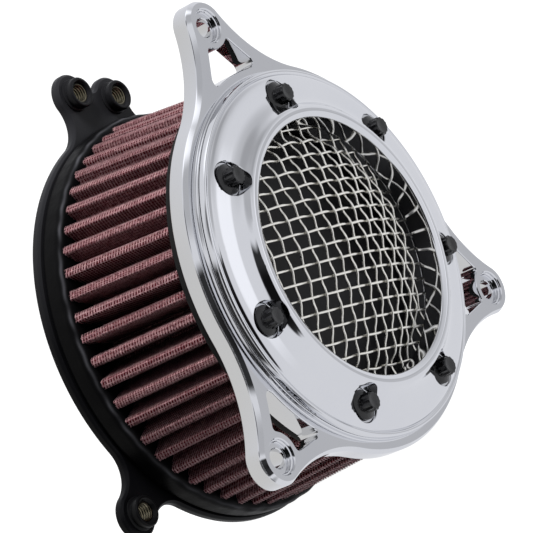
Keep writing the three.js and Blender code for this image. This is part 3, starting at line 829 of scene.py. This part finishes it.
row_way = polar(1, WEAVE_TURN)
column_way = np.array([-row_way[1], row_way[0]])
wires = []
for k in range(-12, 13):
    for start, first, way, other, sign in (
            (ROW_START, COLUMN_START, row_way, column_way, 1),
            (COLUMN_START, ROW_START, column_way, row_way, -1)):
        offset = start + WIRE_PITCH * k
        if abs(offset) < SCREEN_REACH - 4:
            parity = sign * (1 if k % 2 else -1)
            wires.append(woven_wire(offset, first, parity, way, other))

stainless = Finish("stainless wire", Metallic=1.0)
wire_cloud = stainless.noise(260.0, 3.0)
stainless.give(
    Base_Color=stainless.blend(wire_cloud, (0.86, 0.84, 0.77, 1), (0.96, 0.94, 0.88, 1)),
    Roughness=0.20 + 0.12 * wire_cloud, Normal=stainless.bump(wire_cloud, 0.08, 0.0003))
piece("wire_screen", wires, stainless.material, "stainless_wire", "mesh_screen", sharp=60)


# ---------------------------------------------------------------- trim ring
# A turned and chromed ring. From its rim it has a bead, a groove, a nearly flat land with
# seven sunk bolt seats, and a hollow sweep up to a raised lip round the opening.
BOLTS, BOLT_CIRCLE_R, FIRST_BOLT = 7, 66.0, 30.0
RING_R, RING_BACK = 77.8, 83.0
RECESS_R, RECESS_FLOOR, SHANK_HOLE_R = 7.3, 86.3, 3.3
LAND_OUT, LAND_IN = 74.0, 58.0


def flowing(points):
    """A smooth line through points: a cubic over each span whose slope at a point is that of
    the line between its neighbours."""
    points = np.asarray(points, float)
    ends = np.concatenate([[2 * points[0] - points[1]], points, [2 * points[-1] - points[-2]]])
    t = np.linspace(0, 1, 16, endpoint=False)[:, None]
    spans = []
    for a, b, c, d in zip(ends[:-3], ends[1:-2], ends[2:-1], ends[3:]):
        spans.append(b + 0.5 * t * (c - a + t * (2 * a - 5 * b + 4 * c - d
                                                 + t * (3 * (b - c) + d - a))))
    return np.concatenate(spans + [points[-1:]])


sweep = flowing([[75.2, 85.5], [74.5, 86.35], [73.4, 87.0], [71.5, 87.45], [69, 87.8],
                 [66.5, 88.15], [64.6, 88.65], [62.8, 89.45], [61.2, 90.65], [60.0, 92.0],
                 [59.1, 93.0], [58.1, 93.45], [57.0, 93.55]])
rim_profile = np.concatenate([
    soften([[RING_R - 0.3, RING_BACK], [RING_R, RING_BACK + 0.3], [RING_R - 0.45, 85.1],
            [77.1, 85.75], [76.1, 85.8], [75.4, 85.3], [75.2, 85.5]], 0.3, 4, closed=False),
    sweep])
lip_profile = soften([[57.0, 93.55], [56.3, 93.55], [54.7, 92.9], [54.2, 92.3], [54.2, 83.5],
                      [54.7, RING_BACK]], 0.35, 4, closed=False)


def land_height(reach):
    """The height of the ring's face at a distance from its axis."""
    return np.interp(reach, sweep[::-1, 0], sweep[::-1, 1])


N_IN, N_SIDE, N_OUT, N_ACROSS = 44, 22, 56, 30
half_sector = math.pi / BOLTS
inner_turn = np.linspace(-half_sector, half_sector, N_IN + 1)
outer_turn = np.linspace(half_sector, -half_sector, N_OUT + 1)
side_reach = np.linspace(LAND_IN, LAND_OUT, N_SIDE + 1)
border_turn = np.concatenate([inner_turn[:-1], np.full(N_SIDE, half_sector),
                              outer_turn[:-1], np.full(N_SIDE, -half_sector)])
border_reach = np.concatenate([np.full(N_IN, LAND_IN), side_reach[:-1],
                               np.full(N_OUT, LAND_OUT), side_reach[::-1][:-1]])
border = np.stack([border_reach * np.cos(border_turn), border_reach * np.sin(border_turn)], 1)
seat_middle = np.array([BOLT_CIRCLE_R, 0.0])
towards = border - seat_middle
towards /= np.linalg.norm(towards, axis=1, keepdims=True)
RECESS_EDGE = 0.25


def bolt_sector():
    """The face round one bolt seat: lines from the seat's rim out to the sector's border,
    laid on the ring's height, then the seat's wall, floor and hole as circles."""
    rim = seat_middle + towards * (RECESS_R + RECESS_EDGE)
    t = (np.linspace(0, 1, N_ACROSS + 1) ** 1.15)[:, None, None]
    plan = (rim + (border - rim) * t)[::-1]
    height = land_height(np.linalg.norm(plan, axis=-1))
    face = np.concatenate([plan, height[..., None]], axis=-1)
    level = np.ones(len(border))
    rows = [np.column_stack([seat_middle + towards * radius, heights]) for radius, heights in (
        (RECESS_R, height[-1] - RECESS_EDGE), (RECESS_R, level * (RECESS_FLOOR + RECESS_EDGE)),
        (RECESS_R - RECESS_EDGE, level * RECESS_FLOOR), (SHANK_HOLE_R, level * RECESS_FLOOR),
        (SHANK_HOLE_R, level * RING_BACK))]
    return np.concatenate([face, np.stack(rows)])


def spun(points, degrees):
    """A surface turned about the part's axis."""
    return np.concatenate([turned_plan(points[..., :2], degrees), points[..., 2:]], axis=-1)


bolt_turns = [FIRST_BOLT + 360 / BOLTS * k for k in range(BOLTS)]
all_outer = np.concatenate([outer_turn[::-1][:-1] + math.radians(a) for a in bolt_turns])
all_inner = np.concatenate([inner_turn[:-1] + math.radians(a) for a in bolt_turns])
outer_outline = np.concatenate([rim_profile[rim_profile[:, 0] > LAND_OUT + 0.01],
                                [[LAND_OUT, land_height(LAND_OUT)]]])
inner_sweep = sweep[sweep[:, 0] < LAND_IN - 0.01]
inner_outline = np.concatenate([[[LAND_IN, land_height(LAND_IN)]], inner_sweep, lip_profile[1:]])
sector = bolt_sector()
ring_parts = [turned(outer_outline, all_outer, closed=False),
              turned(inner_outline, all_inner, closed=False)]
ring_parts += [grid(spun(sector, a), close_columns=True) for a in bolt_turns]
rear_holes = [turned_plan(seat_middle + towards * SHANK_HOLE_R, a) for a in bolt_turns]
ring_parts.append(flat([
    outer_outline[0, 0] * np.stack([np.cos(all_outer), np.sin(all_outer)], 1),
    inner_outline[-1, 0] * np.stack([np.cos(all_inner), np.sin(all_inner)], 1)]
    + rear_holes, RING_BACK))
piece("clamp_ring", ring_parts, chrome.material, "chrome_plate", "trim_ring", sharp=32)


# ---------------------------------------------------------------- ring bolts
# Quarter-inch twelve-point flange bolts, black oxide over forged steel. The head is two
# hexagons laid across each other, with a chamfered top and a coned flange.
HEAD_CORNER, FLANGE_R, BOLT_TOP, SHANK_R, SHANK_END = 3.97, 6.2, 92.9, 3.0, 74.0
bolt_black = Finish("black oxide")
oxide_cloud = bolt_black.noise(500.0, 4.0)
bolt_black.give(
    Base_Color=bolt_black.blend(oxide_cloud, (0.001, 0.001, 0.0013, 1), (0.006, 0.006, 0.007, 1)),
    Roughness=0.12 + 0.22 * oxide_cloud, Normal=bolt_black.bump(oxide_cloud, 0.22, 0.0003))


def flange_bolt(centre, lean):
    """A stack of closed outlines: round for shank and flange, and for the head the larger of
    two hexagons' radii, each the flat's distance over the cosine of the angle from it."""
    turn = np.linspace(0, 2 * math.pi, 97)[:-1]
    sixth = math.pi / 3
    hexagon = lambda t: math.cos(math.pi / 6) / np.cos((t + sixth / 2) % sixth - sixth / 2)
    star = np.maximum(hexagon(turn), hexagon(turn + sixth / 2)) * HEAD_CORNER
    seat = RECESS_FLOOR + GAP
    layers = [(0, SHANK_END, 0), (0, SHANK_END, SHANK_R - 0.6), (0, SHANK_END + 0.6, SHANK_R),
              (0, seat, SHANK_R), (0, seat, FLANGE_R - 0.2), (0, seat + 0.2, FLANGE_R),
              (0, seat + 0.8, FLANGE_R), (0, seat + 1.0, FLANGE_R - 0.3),
              (0, seat + 1.55, HEAD_CORNER + 0.45), (0.6, seat + 1.7, HEAD_CORNER + 0.1),
              (1, seat + 2.0, 1.0), (1, BOLT_TOP - 0.55, 1.0), (1, BOLT_TOP - 0.4, 0.985),
              (0.7, BOLT_TOP - 0.05, 0.90), (0.5, BOLT_TOP, 0.87), (0, BOLT_TOP, 2.9),
              (0, BOLT_TOP - 0.08, 2.6), (0, BOLT_TOP - 0.08, 0)]
    rows = []
    for share, height, size in layers:
        if share == 1:
            radius = star * size
        elif size < 1 and share:
            radius = star * size * share + HEAD_CORNER * 0.95 * size * (1 - share)
        else:
            radius = np.full(len(turn), size) * (1 - share) + star * share
        rows.append(around(radius, turn + lean, height, centre))
    return grid(np.stack(rows), close_columns=True)


bolt_lean = np.random.default_rng(3).uniform(0, math.pi / 6, BOLTS)
for k, angle in enumerate(bolt_turns):
    piece(f"flange_bolt_{k + 1}", [flange_bolt(polar(BOLT_CIRCLE_R, angle), bolt_lean[k])],
          bolt_black.material, "black_steel", f"ring_bolt_{k + 1}", sharp=25)


# ---------------------------------------------------------------- stage
# A plain white floor, one soft key light, the camera, and a soft studio for the chrome to
# mirror: bright all round with greyer patches, and a dark end with two slits of light.
FLOOR_DROP = 0.0002
FLOOR_HALF = 40.0
floor_mesh = bpy.data.meshes.new("floor")
floor_mesh.from_pydata([(x * FLOOR_HALF, y * FLOOR_HALF, cad_box[0][2] - FLOOR_DROP)
                        for x, y in ((-1, -1), (1, -1), (1, 1), (-1, 1))], [], [(0, 1, 2, 3)])
floor = bpy.data.objects.new("floor", floor_mesh)
bpy.context.scene.collection.objects.link(floor)
paper = Finish("white paper", Roughness=0.9, Emission_Strength=1.0)
paper_grain = paper.noise(30.0, 2.0)
paper.give(Base_Color=paper.blend(paper_grain, (0.10, 0.10, 0.10, 1), (0.12, 0.12, 0.12, 1)))
paper.shader.inputs["Emission Color"].default_value = (1, 1, 1, 1)
floor_mesh.materials.append(paper.material)
floor.visible_glossy = False
floor.visible_diffuse = False

world = bpy.data.worlds.new("studio")
bpy.context.scene.world = world
world.use_nodes = True
sky = world.node_tree
sky.nodes.clear()


def sky_node(kind, settings=None, **links):
    made = sky.nodes.new(kind)
    for key, value in (settings or {}).items():
        setattr(made, key, value)
    for key, value in links.items():
        slot_at = made.inputs[int(key[1:])]
        if hasattr(value, "is_output"):
            sky.links.new(value, slot_at)
        else:
            slot_at.default_value = value
    return made.outputs[0] if made.outputs else None


direction = sky_node("ShaderNodeTexCoord")


def along(heading):
    """The cosine of the angle between the direction and a heading."""
    return sky_node("ShaderNodeVectorMath", {"operation": "DOT_PRODUCT"}, s0=direction,
                    s1=tuple(Vector(heading).normalized())).node.outputs[1]


def fade(value, start, end):
    """Nothing up to start, one from end on, and a smooth change between them."""
    return sky_node("ShaderNodeMapRange", {"interpolation_type": "SMOOTHSTEP"}, s0=value,
                    s1=start, s2=end, s3=0.0, s4=1.0)


def patch(heading, inner, outer):
    """A soft round patch of studio: one where the direction lies within the inner angle of a
    heading, fading to nothing at the outer one, both in degrees."""
    return fade(along(heading), math.cos(math.radians(outer)), math.cos(math.radians(inner)))


def sum_of(a, b, gain):
    """The first value and the gain times the second."""
    return sky_node("ShaderNodeMath", {"operation": "MULTIPLY_ADD"}, s0=b, s1=gain, s2=a)


def bearing(azimuth, elevation):
    """A direction from the degrees turned from the front towards the right, and raised."""
    turn, rise = math.radians(azimuth), math.radians(elevation)
    return (math.sin(turn) * math.cos(rise), -math.cos(turn) * math.cos(rise), math.sin(rise))


def times(a, b):
    return sky_node("ShaderNodeMath", {"operation": "MULTIPLY"}, s0=a, s1=b)


def slit(azimuth, half):
    """A thin upright slit of light: one in the upright plane of a heading, nothing beyond
    the half width in degrees."""
    sideways = along(bearing(azimuth + 90, 0))
    away = sky_node("ShaderNodeMath", {"operation": "ABSOLUTE"}, s0=sideways)
    width = math.sin(math.radians(half))
    return fade(away, width * 1.3, width * 0.7)


# Each lamp and shade is a heading, the angles of its full and fading parts, and its strength.
STUDIO_LEVEL, REAR = 0.84, (-0.35, 0.93, -0.1)
LAMPS = ((bearing(0, 90), 8, 18, 0.6), (bearing(36, 0), 3, 12, 0.34))
SHADES = ((bearing(-40, 58), 10, 26, 0.36), (bearing(40, 45), 10, 40, 0.28),
          (bearing(53, -5), 4, 11, 0.31), (bearing(30, 54), 8, 26, 0.26),
          (bearing(-46, -6), 12, 24, 0.80), (bearing(-88, 48), 6, 16, 0.80),
          (bearing(-86, -60), 6, 18, 0.70), (REAR, 30, 80, 0.16))
glow = STUDIO_LEVEL
for heading, inner, outer, gain in LAMPS:
    glow = sum_of(glow, patch(heading, inner, outer), gain)
for heading, inner, outer, share in SHADES:
    glow = times(glow, sum_of(1.0, patch(heading, inner, outer), -share))
# The dark end is a round patch cut off level above and below, with two slits of light in it.
CUT_ABOVE, CUT_BELOW, SLITS = (0.50, 0.37), (-0.72, -0.60), ((-74, 1.3), (-98, 2.0))
SLIT_SHARE, DARK_SHARE = 0.9, 0.96
rise = sky_node("ShaderNodeSeparateXYZ", s0=direction).node.outputs[2]
dark_end = patch(bearing(-75, 6), 44, 50)
for start, end in (CUT_ABOVE, CUT_BELOW):
    dark_end = times(dark_end, fade(rise, start, end))
for azimuth, half in SLITS:
    dark_end = times(dark_end, sum_of(1.0, slit(azimuth, half), -SLIT_SHARE))
glow = times(glow, sum_of(1.0, dark_end, -DARK_SHARE))
# Its light is a little cool in front and a little warm behind. The camera sees plain white.
behind = patch(REAR, 20, 75)
cool, warm = (0.974, 0.984, 1.024), (1.01, 1.0, 0.968)
shade = sky_node("ShaderNodeVectorMath", {"operation": "MULTIPLY_ADD"}, s1=tuple(
    w - c for w, c in zip(warm, cool)), s2=cool)
sky.links.new(behind, shade.node.inputs[0])
tint = sky_node("ShaderNodeVectorMath", {"operation": "SCALE"}, s0=shade)
sky.links.new(glow, tint.node.inputs[3])
studio = sky_node("ShaderNodeBackground", s0=tint, s1=1.0)
backdrop = sky_node("ShaderNodeBackground", s0=(1, 1, 1, 1), s1=1.6)
seen = sky_node("ShaderNodeLightPath")
mixed = sky_node("ShaderNodeMixShader", s0=seen, s1=studio, s2=backdrop)
sky_node("ShaderNodeOutputWorld", s0=mixed)

key_light = bpy.data.lights.new("key", "AREA")
key_light.shape, key_light.size, key_light.energy = "DISK", 0.55, 42.0
key = bpy.data.objects.new("key", key_light)
key.location = (-0.45, -0.42, 1.3)
key.rotation_euler = (Vector((0, -0.04, 0)) - key.location).to_track_quat("-Z", "Y").to_euler()
bpy.context.scene.collection.objects.link(key)
key.visible_glossy = False

eye = bpy.data.cameras.new("camera")
eye.lens, eye.sensor_width, eye.sensor_height = 214.1, 36.0, 36.0
camera = bpy.data.objects.new("camera", eye)
right, up, ahead = (Vector((0.4966, -0.7273, -0.4738)), Vector((0.3516, -0.3304, 0.8759)),
                    Vector((0.7936, 0.6015, -0.0917)))
turn = Matrix((right, up, -ahead)).transposed()
camera.matrix_world = Matrix.Translation((-1.0175, -0.8209, 0.1239)) @ turn.to_4x4()
bpy.context.scene.collection.objects.link(camera)
bpy.context.scene.camera = camera
bpy.context.scene.view_settings.view_transform = "Standard"
